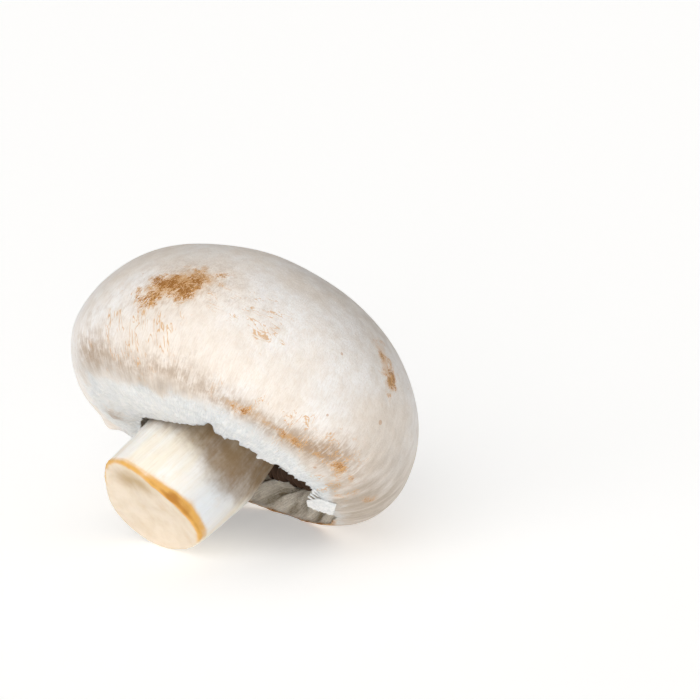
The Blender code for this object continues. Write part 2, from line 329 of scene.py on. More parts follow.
def linear(code):
    """An sRGB hex colour as linear red, green and blue."""
    channels = np.array([int(code[place:place + 2], 16) for place in (1, 3, 5)]) / 255.0
    curved = ((channels + 0.055) / 1.055) ** 2.4
    return tuple(np.where(channels <= 0.04045, channels / 12.92, curved).tolist())


def colour_property(name, description, code):
    """A colour that a user can change, given as sRGB hex."""
    return FloatVectorProperty(name=name, description=description, subtype="COLOR", size=3,
                               min=0.0, max=1.0, default=linear(code))


def length_property(name, description, millimetres):
    """A length that a user can change, given in millimetres."""
    return FloatProperty(name=name, description=description, subtype="DISTANCE", unit="LENGTH",
                         min=0.0, precision=5, default=millimetres * MM)


def strength_property(name, description, strength):
    """The strength of a light that a user can change."""
    return FloatProperty(name=name, description=description, min=0.0, default=strength)


class CapSettings(bpy.types.PropertyGroup):
    """Sizes and colours of the cap and its veil."""
    edge: length_property("Veil edge", "Thickness of the veil at its torn edge", 0.4)
    fray: length_property("Fray", "Size of the fine teeth of the torn edge", 0.2)
    lump: length_property("Unevenness", "How uneven the dome is", 0.14)
    fold: length_property("Folds", "Depth of the folds inside the veil", 1.4)
    white: colour_property("White", "Palest skin", "#FBF8F5")
    cream: colour_property("Cream", "Warm skin", "#F5ECE2")
    beige: colour_property("Beige", "Darker fibres of the skin", "#DECDBB")
    # grey: damp or handled skin, and also painted shade where the grey marks darken the crown, the lower
    # right of the lip and the veil
    grey: colour_property("Grey", "Damp or handled skin", "#B3A595")
    stain: colour_property("Stain", "Tan band near the margin", "#AF957C")
    amber: colour_property("Amber", "Thin bruising", "#D9AA70")
    brown: colour_property("Brown", "Deep bruising", "#B97B2E")
    umber: colour_property("Umber", "Darkest bruising", "#905A19")
    cotton: colour_property("Veil", "Cottony veil", "#FCFBF8")
    # threads: the veil's greyer threads, also its painted shade on the right part where the grey marks lie
    thread: colour_property("Threads", "Greyer threads of the veil", "#DADDDE")
    lining: colour_property("Lining", "Inside of the veil", "#F6EEE0")
    # hollow: painted shade in the creases between the lining's folds
    hollow: colour_property("Folds", "Between the folds of the lining", "#8F8068")


class GillSettings(bpy.types.PropertyGroup):
    """Sizes and colours of the gills."""
    groups: IntProperty(name="Groups", description="Groups of four blades", min=12, max=90, default=50)
    thickness: length_property("Thickness", "Thickness of a blade at its edge", 0.16)
    root: length_property("Root", "Thickness of a blade where it grows from the plate", 0.34)
    wave: length_property("Wave", "How far a blade waves from side to side", 0.12)
    brown: colour_property("Brown", "Sides of the blades", "#2B1910")
    tan: colour_property("Tan", "Paler edges and dust", "#5E4430")


class StemSettings(bpy.types.PropertyGroup):
    """Sizes and colours of the stem."""
    relief: length_property("Relief", "Height of the long fibres", 0.05)
    cream: colour_property("Cream", "Side of the stem", "#F6EDDD")
    white: colour_property("White", "Palest fibres", "#F9F6F0")
    tan: colour_property("Tan", "Fibres in shade", "#D8C3A0")
    # cool: painted cool shade on the stem's right flank
    cool: colour_property("Cool", "Bluish white flank", "#DFE4E9")
    # brown under the veil: partly painted shade of the veil, partly brown discolouration
    brown: colour_property("Brown", "Where the veil was", "#866430")
    gold: colour_property("Gold", "Dried rim of the cut", "#DFAC5A")
    rust: colour_property("Rust", "Darkest part of the rim", "#B87C2A")
    face: colour_property("Face", "Cut flesh", "#E6D8C5")
    # dent: painted shade in and beside the cut's dent
    dent: colour_property("Dent", "Dried flesh in the cut's dent", "#BDA27A")


class StageSettings(bpy.types.PropertyGroup):
    """Floor and light."""
    floor_size: FloatProperty(name="Floor", description="Side of the floor", unit="LENGTH", default=6.0)
    floor_colour: colour_property("Floor", "Plain pale floor", "#F6F5F3")
    floor_glow: strength_property("Floor glow", "Light the floor itself gives", 0.33)
    key: strength_property("Key light", "Strength of the wide front light", 1.25)
    fill: strength_property("Fill light", "Strength of the low front light", 0.75)
    top: strength_property("Top light", "Strength of the light from above", 0.9)
    sky: strength_property("Surroundings", "Strength of the white surroundings", 0.2)


def lay_down(places):
    """Cap-frame places (last axis U, V, A) to millimetres on the table: the three axes times
    the three values, added to the cap's centre."""
    axes = np.array((AXIS_U, AXIS_V, AXIS_A))
    return np.array(CAP_CENTRE) + places @ axes


def around(radius, height, angles):
    """Cap-frame places at a radius and height: radius times the cosine and sine of the angle."""
    radius, height, angles = np.broadcast_arrays(radius, height, angles)
    return np.stack((radius * np.cos(angles), radius * np.sin(angles), height), -1)


def angle_from(angles, where):
    """Signed angle from a direction, in degrees, between -180 and 180."""
    return (np.degrees(angles) - where + 180.0) % 360.0 - 180.0


def bell(angles, side, half_width, power=2):
    """1 at a side and less away from it: e to the minus power of the angle over its half width."""
    return np.exp(-((angle_from(angles, side) / half_width) ** power))


def smooth(low, high, values):
    """0 below low, 1 above high, and the cubic 3t² - 2t³ between."""
    share = np.clip((values - low) / (high - low), 0.0, 1.0)
    return share * share * (3.0 - 2.0 * share)


def drift(places, size, seed, waves=16):
    """Soft unevenness, about -1 to 1: the sum of sine waves in random directions, each from 0.7
    to 1.5 times the size in length, divided by the root of their number."""
    random = np.random.default_rng(seed)
    directions = random.normal(size=(waves, 3))
    directions /= np.linalg.norm(directions, axis=1)[:, None]
    lengths = size * random.uniform(0.7, 1.5, waves)
    phases = random.uniform(0.0, CIRCLE, waves)
    return np.sin(places @ (CIRCLE * directions / lengths[:, None]).T + phases).sum(-1) / np.sqrt(waves)


def normals(grid):
    """Unit normals of a grid that closes round its columns: the cross product of the steps
    round it and the steps down it, which points outwards on these surfaces."""
    round_step = np.roll(grid, -1, 1) - np.roll(grid, 1, 1)
    down_step = np.gradient(grid, axis=0)
    normal = np.cross(down_step, round_step)
    return normal / np.maximum(np.linalg.norm(normal, axis=-1, keepdims=True), 1e-9)


def veil_edge(angles, fray):
    """Radius of the torn edge: an off-centre oval, plus each tear's bell curve, plus sine
    waves round it, which are lower on the calm side. On the shown side the measured edge takes
    its place. Slanted waves (the arctangent of a sine over one less a cosine) are the teeth."""
    shift = OPENING_SHIFT * np.cos(np.radians(angle_from(angles, OPENING_SIDE)))
    oval = OPENING_OVAL * np.cos(2.0 * np.radians(angle_from(angles, OVAL_SIDE)))
    edge = VEIL_OPENING + shift + oval
    for where, before, after, depth in TEARS:
        away = angle_from(angles, where)
        edge = edge + depth * np.exp(-((away / np.where(away < 0.0, before, after)) ** 2))
    where, half_width, share = CALM
    rough = 1.0 - share * bell(angles, where, half_width, 4)
    for waves, size, turn in FRAYS:
        edge = edge + size * rough * np.sin(waves * angles + np.radians(turn))
    side = np.degrees(angles) % 360.0
    torn = np.interp(side, *np.array(TORN_SIDE).T)
    edge = edge + (torn - edge) * smooth(88.0, 100.0, side) * (1.0 - smooth(286.0, 300.0, side))
    where, half_width, least = FRAYED
    frayed = least + (1.0 - least) * bell(angles, where, half_width, 4)
    for waves, share in TEETH:
        turn = waves * angles + 2.0 * np.sin(5.0 * angles + waves) + 1.3 * np.sin(11.0 * angles)
        tooth = np.arctan2(TOOTH_SLANT * np.sin(turn), 1.0 - TOOTH_SLANT * np.cos(turn))
        edge = edge + fray * share * frayed * tooth
    return edge


def lip_drop(angles):
    """How far the lip hangs below the widest circle, a little less on one side."""
    side = (1.0 + np.cos(np.radians(angle_from(angles, NEAR_SIDE)))) / 2.0
    return LIP_DROP - NEAR_LIFT * side**2


def lip_point(share, angles, edge):
    """Radius, height and turn on the lip's outside, from the widest circle (0) to the torn edge (1).

    A quarter ellipse; past its lowest point the veil runs on inwards and curls up by the
    square of the way."""
    roll = CAP_RADIUS - LIP_RADIUS
    drop = lip_drop(angles)
    rolled = 2.0 / np.pi * np.arccos(np.clip((edge - LIP_RADIUS) / roll, 0.0, 1.0))
    past = 1.0 + (LIP_RADIUS - edge) / (roll * np.pi / 2.0)
    along = share * np.where(edge < LIP_RADIUS, past, rolled)
    bend = np.minimum(along, 1.0) * np.pi / 2.0
    beyond = np.maximum(along - 1.0, 0.0) * roll * np.pi / 2.0
    radius = LIP_RADIUS + roll * np.cos(bend) - beyond
    height = -drop * np.sin(bend) + VEIL_CURL * beyond**2
    return radius, height, 90.0 + 90.0 * along


def ceiling(turn):
    """Radius and height of the flesh above the gills: a flattened quarter ellipse."""
    radius = HOLLOW_RADIUS * np.sin(turn) ** (2.0 / HOLLOW_POWER)
    height = HOLLOW_MIDDLE + HOLLOW_HEIGHT * np.cos(turn) ** (2.0 / HOLLOW_POWER)
    return radius, height


def ceiling_height(radius):
    """Height of the flesh above the gills at a radius."""
    return ceiling(np.arcsin((radius / HOLLOW_RADIUS) ** (HOLLOW_POWER / 2.0)))[1]


def cap_place(side, turn):
    """One place on the cap's outside, with its level and downward directions."""
    angle = np.radians(side)
    steps = np.radians((turn - 0.5, turn, turn + 0.5))
    dome = steps <= np.pi / 2.0
    bend = steps - np.pi / 2.0
    up = np.maximum(np.cos(steps), 0.0)
    radius = np.where(dome, CAP_RADIUS * np.maximum(np.sin(steps), 0.0) ** (2.0 / DOME_POWER),
                      LIP_RADIUS + (CAP_RADIUS - LIP_RADIUS) * np.cos(bend))
    height = np.where(dome, DOME_HEIGHT * up ** (2.0 / DOME_POWER), -lip_drop(angle) * np.sin(bend))
    path = around(radius, height, angle)
    down = path[2] - path[0]
    level = np.array((-np.sin(angle), np.cos(angle), 0.0))
    return path[1], level, down / np.linalg.norm(down)


def marks(places, spots):
    """How strongly each place is marked: for each spot the bell curve of the way along and
    across it, turned by its tilt, times its strength, all summed."""
    total = np.zeros(places.shape[:-1])
    for side, turn, half_length, half_width, tilt, strength in spots:
        middle, level, down = cap_place(side, turn)
        tilt = np.radians(tilt)
        along = np.cos(tilt) * level - np.sin(tilt) * down
        aside = np.sin(tilt) * level + np.cos(tilt) * down
        away = places - middle
        near = ((away @ along) / half_length) ** 2 + ((away @ aside) / half_width) ** 2
        depth = np.linalg.norm(away, axis=-1) / (3.0 * max(half_length, half_width))
        total = total + strength * np.exp(-near - depth**4)
    return total


def add_piece(name, points, faces, material, attributes, replaced):
    """Put one closed mesh, in millimetres on the table, into the scene. It stays inside the
    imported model's box, carries its attributes, rides on the root body and stands for a node."""
    points = np.clip(points * MM, np.array(CAD_BOX[0]), np.array(CAD_BOX[1]))
    mesh = bpy.data.meshes.new(name)
    mesh.from_pydata(points.tolist(), [], faces)
    for label, values in attributes.items():
        kind, field = ("FLOAT", "value") if values.ndim == 1 else ("FLOAT_VECTOR", "vector")
        mesh.attributes.new(label, kind, "POINT").data.foreach_set(field, values.astype(np.float32).ravel())
    mesh.shade_smooth()
    mesh.materials.append(material)
    mesh.validate()
    piece = bpy.data.objects.new(name, mesh)
    bpy.context.scene.collection.objects.link(piece)
    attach(piece, "root")
    if replaced:
        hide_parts(replaced)
    return piece


def grid_faces(rows, columns, first=0):
    """Faces of a grid of points that closes round its columns."""
    upper = first + np.arange((rows - 1) * columns).reshape(rows - 1, columns)
    after = np.roll(upper, -1, 1)
    return np.stack((upper, upper + columns, after + columns, after), -1).reshape(-1, 4).tolist()


def fan_faces(ring, pole, outwards):
    """Triangles from a ring of points to a pole."""
    after = np.roll(ring, -1)
    if outwards:
        return np.stack((np.full(len(ring), pole), ring, after), -1).tolist()
    return np.stack((ring, np.full(len(ring), pole), after), -1).tolist()


def node(tree, kind, inputs=None, **settings):
    """Add one shader node: settings are its own properties, inputs are sockets by name or
    place, each with a plain value or with another node's output to link."""
    new = tree.nodes.new(kind)
    for name, value in settings.items():
        setattr(new, name, value)
    for place, value in (inputs or {}).items():
        if isinstance(value, bpy.types.NodeSocket):
            tree.links.new(value, new.inputs[place])
        else:
            new.inputs[place].default_value = value
    return new


def new_tree(name):
    """A material with an empty node tree."""
    material = bpy.data.materials.new(name)
    material.use_nodes = True
    material.node_tree.nodes.clear()
    return material, material.node_tree


def opaque(colour):
    """A linear colour with full alpha."""
    return (*colour, 1.0)


def cap_skin_material(looks):
    """Mushroom cap skin and veil: silky fibres that run from crown to margin under a satin,
    slightly waxy skin, tan and amber where it was rubbed, matt and cottony on the veil."""
    material, tree = new_tree("mushroom cap skin")
    fibre = node(tree, ATTRIBUTE, attribute_name="fibre").outputs["Vector"]
    place = node(tree, COORDINATES).outputs["Object"]
    mark = {label: node(tree, ATTRIBUTE, attribute_name=label).outputs["Fac"]
            for label in ("bruise", "scratch", "scrape", "stain", "grey", "cotton", "inside", "margin")}

    # noises drawn out along the fibres, with their grains to a millimetre round and along them:
    # silk is 0.17 by 1.1 mm, streak 1.7 by 5 mm, line 0.3 by 1.7 mm
    silk, streak, line = (
        node(tree, NOISE, {"Vector": node(tree, MAPPING, {"Vector": fibre, "Scale": grains}).outputs[0],
                           "Scale": 1.0, "Detail": detail, "Roughness": rough,
                           "Distortion": swirl}).outputs[0]
        for grains, detail, rough, swirl in (
            ((6.0, 6.0, 0.9), 4.0, 0.6, 0.5), ((0.6, 0.6, 0.2), 3.0, 0.5, 0.0),
            ((3.4, 3.4, 0.6), 4.0, 0.65, 0.6)))
    # even noises, with their grains to a metre: cloud is 13 mm, mottle 2.2 mm, spot 1.3 mm,
    # clump 2.4 mm, fluff 0.7 mm
    cloud, mottle, spot, clump, fluff = (
        node(tree, NOISE, {"Vector": place, "Scale": grains, "Detail": detail,
                           "Roughness": rough}).outputs[0]
        for grains, detail, rough in (
            (75.0, 4.0, 0.5), (450.0, 5.0, 0.65), (750.0, 4.0, 0.65), (420.0, 2.0, 0.5),
            (1500.0, 4.0, 0.6)))

    warm = node(tree, RANGE, {0: cloud, 1: 0.38, 2: 0.62}, interpolation_type="SMOOTHSTEP")
    colour = node(tree, MIX, {0: warm.outputs[0], 6: opaque(looks.white), 7: opaque(looks.cream)},
                  data_type="RGBA").outputs[2]
    depth = node(tree, RANGE, {0: mark["margin"], 3: 0.24, 4: 0.42}).outputs[0]
    for values, low, high, strength in (
            (streak, 0.45, 0.75, 0.2), (mottle, 0.45, 0.7, 0.35), (silk, 0.46, 0.62, depth)):
        part = node(tree, RANGE, {0: values, 1: low, 2: high}).outputs[0]
        part = node(tree, MATH, {0: part, 1: strength}, operation="MULTIPLY").outputs[0]
        colour = node(tree, MIX, {0: part, 6: colour, 7: opaque(looks.beige)}, data_type="RGBA").outputs[2]
    # grey: greyer skin, and painted shade on the crown, the lower right of the lip and the veil's right
    # part
    grey_skin_and_shade = node(tree, MATH, {0: mark["grey"], 1: streak}, operation="MULTIPLY",
                  use_clamp=True).outputs[0]

    # veil: cotton white with a feathered border, drawn out into threads
    broken = node(tree, MATH, {0: line, 1: spot}, operation="ADD").outputs[0]
    broken = node(tree, MATH, {0: broken, 1: -1.0}, operation="ADD").outputs[0]
    veil = node(tree, MATH, {0: broken, 1: 1.1, 2: mark["cotton"]}, operation="MULTIPLY_ADD").outputs[0]
    veil = node(tree, RANGE, {0: veil, 1: 0.1, 2: 0.95}, interpolation_type="SMOOTHSTEP").outputs[0]
    # the grey marks also turn the veil's threads greyer, as painted shade on its right part
    fluffy = node(tree, MATH, {0: mark["grey"], 1: -0.25, 2: broken}, operation="MULTIPLY_ADD").outputs[0]
    fluffy = node(tree, RANGE, {0: fluffy, 1: -0.42, 2: 0.12}).outputs[0]
    fluffy = node(tree, MIX, {0: fluffy, 6: opaque(looks.thread), 7: opaque(looks.cotton)},
                  data_type="RGBA").outputs[2]

    # stain: the band's strength, broken up by those threads and by spots of about 1 mm
    banded = node(tree, MATH, {0: broken, 1: 2.6, 2: mark["stain"]}, operation="MULTIPLY_ADD").outputs[0]
    banded = node(tree, RANGE, {0: banded, 1: -0.1, 2: 1.3}, interpolation_type="SMOOTHSTEP").outputs[0]
    banded = node(tree, MATH, {0: banded, 1: mark["stain"]}, operation="MULTIPLY",
                  use_clamp=True).outputs[0]

    # wash: the amber that a bruise leaves under its filaments
    wash = node(tree, MATH, {0: broken, 1: 0.8, 2: mark["bruise"]}, operation="MULTIPLY_ADD").outputs[0]
    wash = node(tree, RANGE, {0: wash, 1: 0.15, 2: 1.25, 4: 0.7},
                interpolation_type="SMOOTHSTEP").outputs[0]
    for share, tint in ((grey_skin_and_shade, opaque(looks.grey)), (veil, fluffy), (banded, opaque(looks.stain)),
                        (wash, opaque(looks.amber))):
        colour = node(tree, MIX, {0: share, 6: colour, 7: tint}, data_type="RGBA").outputs[2]

    # marks: thin wandering lines where a noise crosses its middle value, with gaps of 2.4 mm; each
    # kind has its direction, its grain in mm, how its strength and the gaps widen it, its greatest
    # width and its colours from its edge inwards
    gap = node(tree, MATH, {0: clump, 1: -0.54}, operation="ADD").outputs[0]
    for label, turn, grain, widen, most, shades in (
            ("bruise", (1.05, 0.0, 0.0), (0.34, 1.1, 0.34), (0.135, 0.5), 1.0,
             (looks.amber, looks.brown, looks.umber)),
            ("scratch", (0.5, 0.0, 0.0), (1.1, 1.1, 6.5), (0.05, 0.3), 0.034, (looks.amber, looks.brown)),
            ("scrape", (-0.08, 0.0, 0.68), (1.0, 3.4, 1.0), (0.05, 0.3), 0.032,
             (looks.amber, looks.brown))):
        hair = node(tree, MAPPING, {"Vector": fibre, "Rotation": turn, "Scale": grain},
                    vector_type="TEXTURE").outputs[0]
        hair = node(tree, NOISE, {"Vector": hair, "Scale": 1.0, "Detail": 2.0,
                                  "Distortion": 1.5}).outputs[0]
        hair = node(tree, MATH, {0: hair, 1: -0.5}, operation="ADD").outputs[0]
        hair = node(tree, MATH, {0: hair}, operation="ABSOLUTE").outputs[0]
        room = node(tree, MATH, {0: gap, 1: widen[1]}, operation="MULTIPLY").outputs[0]
        room = node(tree, MATH, {0: mark[label], 1: widen[0], 2: room}, operation="MULTIPLY_ADD").outputs[0]
        room = node(tree, MATH, {0: room, 1: most}, operation="MINIMUM").outputs[0]
        room = node(tree, MATH, {0: room, 1: hair}, operation="SUBTRACT").outputs[0]
        near = node(tree, RANGE, {0: mark[label], 1: 0.03, 2: 0.3}).outputs[0]
        for low, high, shade in zip((0.0, 0.026, 0.055), (0.024, 0.055, 0.088), shades):
            part = node(tree, RANGE, {0: room, 1: low, 2: high, 4: 0.75},
                        interpolation_type="SMOOTHSTEP").outputs[0]
            part = node(tree, MATH, {0: part, 1: near}, operation="MULTIPLY").outputs[0]
            colour = node(tree, MIX, {0: part, 6: colour, 7: opaque(shade)},
                          data_type="RGBA").outputs[2]

    # specks: brown dots up to 0.8 mm across, in four of ten squares of 4.5 mm
    speck = node(tree, "ShaderNodeTexVoronoi", {"Vector": place, "Scale": 220.0})
    chosen = node(tree, "ShaderNodeSeparateColor", {0: speck.outputs["Color"]}).outputs[0]
    chosen = node(tree, RANGE, {0: chosen, 1: 0.0, 2: 0.4, 3: 0.09, 4: 0.0}).outputs[0]
    speck = node(tree, MATH, {0: speck.outputs["Distance"], 1: chosen}, operation="LESS_THAN").outputs[0]
    speck = node(tree, MATH, {0: speck, 1: 0.45}, operation="MULTIPLY").outputs[0]

    # lining: paler on the crests of its folds and grey-brown between them, a painted light and shade of the
    # folds, with silky streaks
    lining_fold_light_and_shade = node(tree, MATH, {0: broken, 1: 1.6, 2: mark["margin"]}, operation="MULTIPLY_ADD",
                 use_clamp=True).outputs[0]
    lining_fold_light_and_shade = node(tree, MIX, {0: lining_fold_light_and_shade, 6: opaque(looks.hollow), 7: opaque(looks.lining)},
                 data_type="RGBA").outputs[2]
    for share, tint in ((speck, opaque(looks.brown)), (mark["inside"], lining_fold_light_and_shade)):
        colour = node(tree, MIX, {0: share, 6: colour, 7: tint}, data_type="RGBA").outputs[2]

    # relief: silky fibres up to 0.1 mm high on the skin, fluff of 0.7 mm and threads on the veil
    fluff = node(tree, MATH, {0: fluff, 1: broken}, operation="ADD").outputs[0]
    fluff = node(tree, MATH, {0: fluff, 1: -0.5}, operation="ADD").outputs[0]
    fluff = node(tree, MATH, {0: fluff, 1: veil}, operation="MULTIPLY").outputs[0]
    silk_height = node(tree, RANGE, {0: mark["margin"], 3: 0.05, 4: 0.12}).outputs[0]
    height = node(tree, MATH, {0: silk, 1: silk_height}, operation="MULTIPLY").outputs[0]
    height = node(tree, MATH, {0: fluff, 1: 0.34, 2: height}, operation="MULTIPLY_ADD").outputs[0]
    height = node(tree, MATH, {0: mottle, 1: 0.2, 2: height}, operation="MULTIPLY_ADD").outputs[0]
    bump = node(tree, BUMP, {"Height": height, "Distance": MM, "Strength": 0.9}).outputs[0]
    rough = node(tree, RANGE, {0: mark["cotton"], 3: 0.38, 4: 0.9}).outputs[0]
    shader = node(tree, PRINCIPLED, {
        "Base Color": colour, "Roughness": rough, "Normal": bump, "IOR": 1.4, "Subsurface Weight": 0.25,
        "Subsurface Radius": (1.0, 0.85, 0.7), "Subsurface Scale": 1.2 * MM})
    node(tree, OUTPUT, {"Surface": shader.outputs[0]})
    return material


def gill_material(looks):
    """Gill tissue: thin brown blades, matt and dusty, paler along their edges."""
    material, tree = new_tree("gill tissue")
    fibre = node(tree, ATTRIBUTE, attribute_name="fibre").outputs["Vector"]
    edge = node(tree, ATTRIBUTE, attribute_name="edge").outputs["Fac"]
    grain_place = node(tree, MAPPING, {"Vector": fibre, "Scale": (0.6, 0.6, 2.0)}).outputs[0]
    grain = node(tree, NOISE, {"Vector": grain_place, "Scale": 1.0, "Detail": 3.0}).outputs[0]
    pale = node(tree, MATH, {0: grain, 1: edge}, operation="MULTIPLY").outputs[0]
    pale = node(tree, MATH, {0: pale, 1: 0.2}, operation="ADD").outputs[0]
    colour = node(tree, MIX, {0: pale, 6: opaque(looks.brown), 7: opaque(looks.tan)},
                  data_type="RGBA").outputs[2]
    bump = node(tree, BUMP, {"Height": grain, "Distance": 0.1 * MM, "Strength": 0.8}).outputs[0]
    shader = node(tree, PRINCIPLED, {"Base Color": colour, "Roughness": 0.8, "Normal": bump})
    node(tree, OUTPUT, {"Surface": shader.outputs[0]})
    return material


def stem_material(looks):
    """Stem flesh: pale long fibres, matt, tan to brown where the veil shades it, partly painted shade of
    the veil and partly brown discolouration, bluish white on one flank as a painted cool shade, with a cut
    face that dried to gold along its upper rim and is darker by its dent as a painted shade."""
    material, tree = new_tree("stem flesh")
    fibre = node(tree, ATTRIBUTE, attribute_name="fibre").outputs["Vector"]
    place = node(tree, COORDINATES).outputs["Object"]
    mark = {label: node(tree, ATTRIBUTE, attribute_name=label).outputs["Fac"]
            for label in ("cut", "rim", "shade", "dent", "cool")}

    # long fibres about 0.3 mm wide and 3 mm long, broad streaks of 2.5 by 17 mm, flecks of 2.2 mm
    long_place = node(tree, MAPPING, {"Vector": fibre, "Scale": (3.2, 3.2, 0.32)}).outputs[0]
    long = node(tree, NOISE, {"Vector": long_place, "Scale": 1.0, "Detail": 4.0}).outputs[0]
    broad_place = node(tree, MAPPING, {"Vector": fibre, "Scale": (0.4, 0.4, 0.06)}).outputs[0]
    broad = node(tree, NOISE, {"Vector": broad_place, "Scale": 1.0, "Detail": 2.0}).outputs[0]
    fleck = node(tree, NOISE, {"Vector": place, "Scale": 450.0, "Detail": 4.0}).outputs[0]

    pale = node(tree, RANGE, {0: broad, 1: 0.35, 2: 0.65}, interpolation_type="SMOOTHSTEP")
    colour = node(tree, MIX, {0: pale.outputs[0], 6: opaque(looks.cream), 7: opaque(looks.white)},
                  data_type="RGBA").outputs[2]
    dark = node(tree, RANGE, {0: long, 1: 0.46, 2: 0.75, 4: 0.2}).outputs[0]
    patch = node(tree, NOISE, {"Vector": place, "Scale": 400.0, "Detail": 5.0, "Roughness": 0.6}).outputs[0]
    # brown under the veil: painted shade of the veil together with brown discolouration, mottled
    shaded = node(tree, MATH, {0: long, 1: 0.16, 2: patch}, operation="MULTIPLY_ADD").outputs[0]
    shaded = node(tree, MATH, {0: shaded, 1: 1.0, 2: mark["shade"]}, operation="MULTIPLY_ADD").outputs[0]
    shaded = node(tree, RANGE, {0: shaded, 1: 0.7, 2: 1.8, 4: 0.9},
                  interpolation_type="SMOOTHSTEP").outputs[0]
    # bluish white on one flank: a painted cool shade
    cooled = node(tree, MATH, {0: mark["cool"], 1: 0.8}, operation="MULTIPLY").outputs[0]

    # cut face: flecks, and the painted shade of its dent
    face = node(tree, RANGE, {0: fleck, 1: 0.4, 2: 0.8, 4: 0.35}).outputs[0]
    face = node(tree, MATH, {0: face, 1: mark["dent"]}, operation="ADD", use_clamp=True).outputs[0]
    face = node(tree, MIX, {0: face, 6: opaque(looks.face), 7: opaque(looks.dent)},
                data_type="RGBA").outputs[2]
    gold = node(tree, MATH, {0: fleck, 1: 0.8, 2: mark["rim"]}, operation="MULTIPLY_ADD").outputs[0]
    warm = node(tree, RANGE, {0: gold, 1: 0.45, 2: 1.15}, interpolation_type="SMOOTHSTEP").outputs[0]
    rust = node(tree, RANGE, {0: gold, 1: 1.15, 2: 1.7}, interpolation_type="SMOOTHSTEP").outputs[0]
    for share, tint in ((dark, opaque(looks.tan)), (cooled, opaque(looks.cool)),
                        (shaded, opaque(looks.brown)), (mark["cut"], face),
                        (warm, opaque(looks.gold)), (rust, opaque(looks.rust))):
        colour = node(tree, MIX, {0: share, 6: colour, 7: tint}, data_type="RGBA").outputs[2]

    height = node(tree, MATH, {0: long, 1: 0.07}, operation="MULTIPLY").outputs[0]
    height = node(tree, MATH, {0: fleck, 1: 0.06, 2: height}, operation="MULTIPLY_ADD").outputs[0]
    bump = node(tree, BUMP, {"Height": height, "Distance": MM, "Strength": 0.9}).outputs[0]
    shader = node(tree, PRINCIPLED, {
        "Base Color": colour, "Roughness": 0.6, "Normal": bump, "IOR": 1.4, "Subsurface Weight": 0.25,
        "Subsurface Radius": (1.0, 0.75, 0.5), "Subsurface Scale": 1.2 * MM})
    node(tree, OUTPUT, {"Surface": shader.outputs[0]})
    return material


def cap_grid(looks):
    """Rows of places over the whole cap, from the crown over the lip to the torn edge and back
    in along the wall and the ceiling, with each place's turn, whether it is inside, where the
    crests of the folds are, and the angles.

    The dome is the sine and cosine of the turn, each to a power, times its radius and height.
    The wall is a quarter ellipse, thinner near the edge by the sixth power of a sine. Its pleats
    are slanted sine waves. Its folds are the sizes of two slanted sines that sway."""
    angles = np.linspace(0.0, CIRCLE, CAP_COLUMNS, endpoint=False)
    edge = veil_edge(angles, looks.fray / MM)
    flat = np.ones_like(angles)

    turns = np.radians(np.linspace(1.2, 90.0, DOME_ROWS))[:, None]
    dome = around(CAP_RADIUS * np.sin(turns) ** (2.0 / DOME_POWER) * flat,
                  DOME_HEIGHT * np.maximum(np.cos(turns), 0.0) ** (2.0 / DOME_POWER) * flat, angles)
    shares = np.linspace(0.0, 1.0, LIP_ROWS + 1)[1:, None]
    radius, height, lip_turn = lip_point(shares, angles, edge)
    lip = around(radius, height, angles)

    # the edge is a half round as thick as the veil is there
    low = height[-1]
    half = looks.edge / MM / 2.0
    bends = np.linspace(0.0, np.pi, NOSE_ROWS + 2)[1:-1, None]
    nose = around(edge - half * np.sin(bends), low + half * (1.0 - np.cos(bends)), angles)

    # the wall: from the edge out to the widest part of the hollow, thin at first
    bends = np.linspace(np.pi / 2.0, 0.0, WALL_ROWS)[:, None]
    thin = (VEIL_ROOT - 2.0 * half) * np.sin(bends) ** 6
    radius = edge + (HOLLOW_RADIUS - edge) * np.cos(bends)
    height = HOLLOW_MIDDLE + (low + VEIL_ROOT - HOLLOW_MIDDLE) * np.sin(bends) - thin
    pleat = PLEAT_DEPTH * np.sin(2.0 * bends) * (1.0 + np.sin(PLEATS * angles + 2.5 * bends))
    where, half_width, least = FOLDED
    far = least + (1.0 - least) * bell(angles, where, half_width, 4)
    first, second = (np.abs(np.sin(folds * angles - slant * bends + sway * np.sin(sways * angles)))
                     for folds, slant, sway, sways in FOLDS)
    folded = first + SECOND_FOLD * second
    puff = LINING_PUFF * far * smooth(0.45, 0.9, bends) * (1.0 - smooth(1.15, 1.5, bends))
    fold = puff + looks.fold / MM * far * np.sin(2.0 * bends) * folded / (1.0 + SECOND_FOLD)
    wall = around(radius - 0.5 * pleat - 0.5 * fold, height + 0.5 * pleat + fold, angles)

    turns = np.radians(np.linspace(82.0, 10.0, CEILING_ROWS))[:, None]
    radius, height = ceiling(turns)
    roof = around(radius * flat, height * flat, angles)

    grid = np.concatenate((dome, lip, nose, wall, roof))
    turn = np.concatenate((np.linspace(1.2, 90.0, DOME_ROWS)[:, None] * flat, lip_turn,
                           np.repeat(lip_turn[-1:], NOSE_ROWS + WALL_ROWS + CEILING_ROWS, 0)))
    start = DOME_ROWS + LIP_ROWS + NOSE_ROWS
    inside = np.zeros(grid.shape[:2])
    inside[start:] = 1.0
    # how high the folds stand, for the lining's painted light on crests and shade between them
    crest = np.zeros(grid.shape[:2])
    crest[start:start + WALL_ROWS] = np.clip((folded - CREST_START) / CREST_RISE, 0.0, 1.0)
    return grid, turn, inside, crest, angles


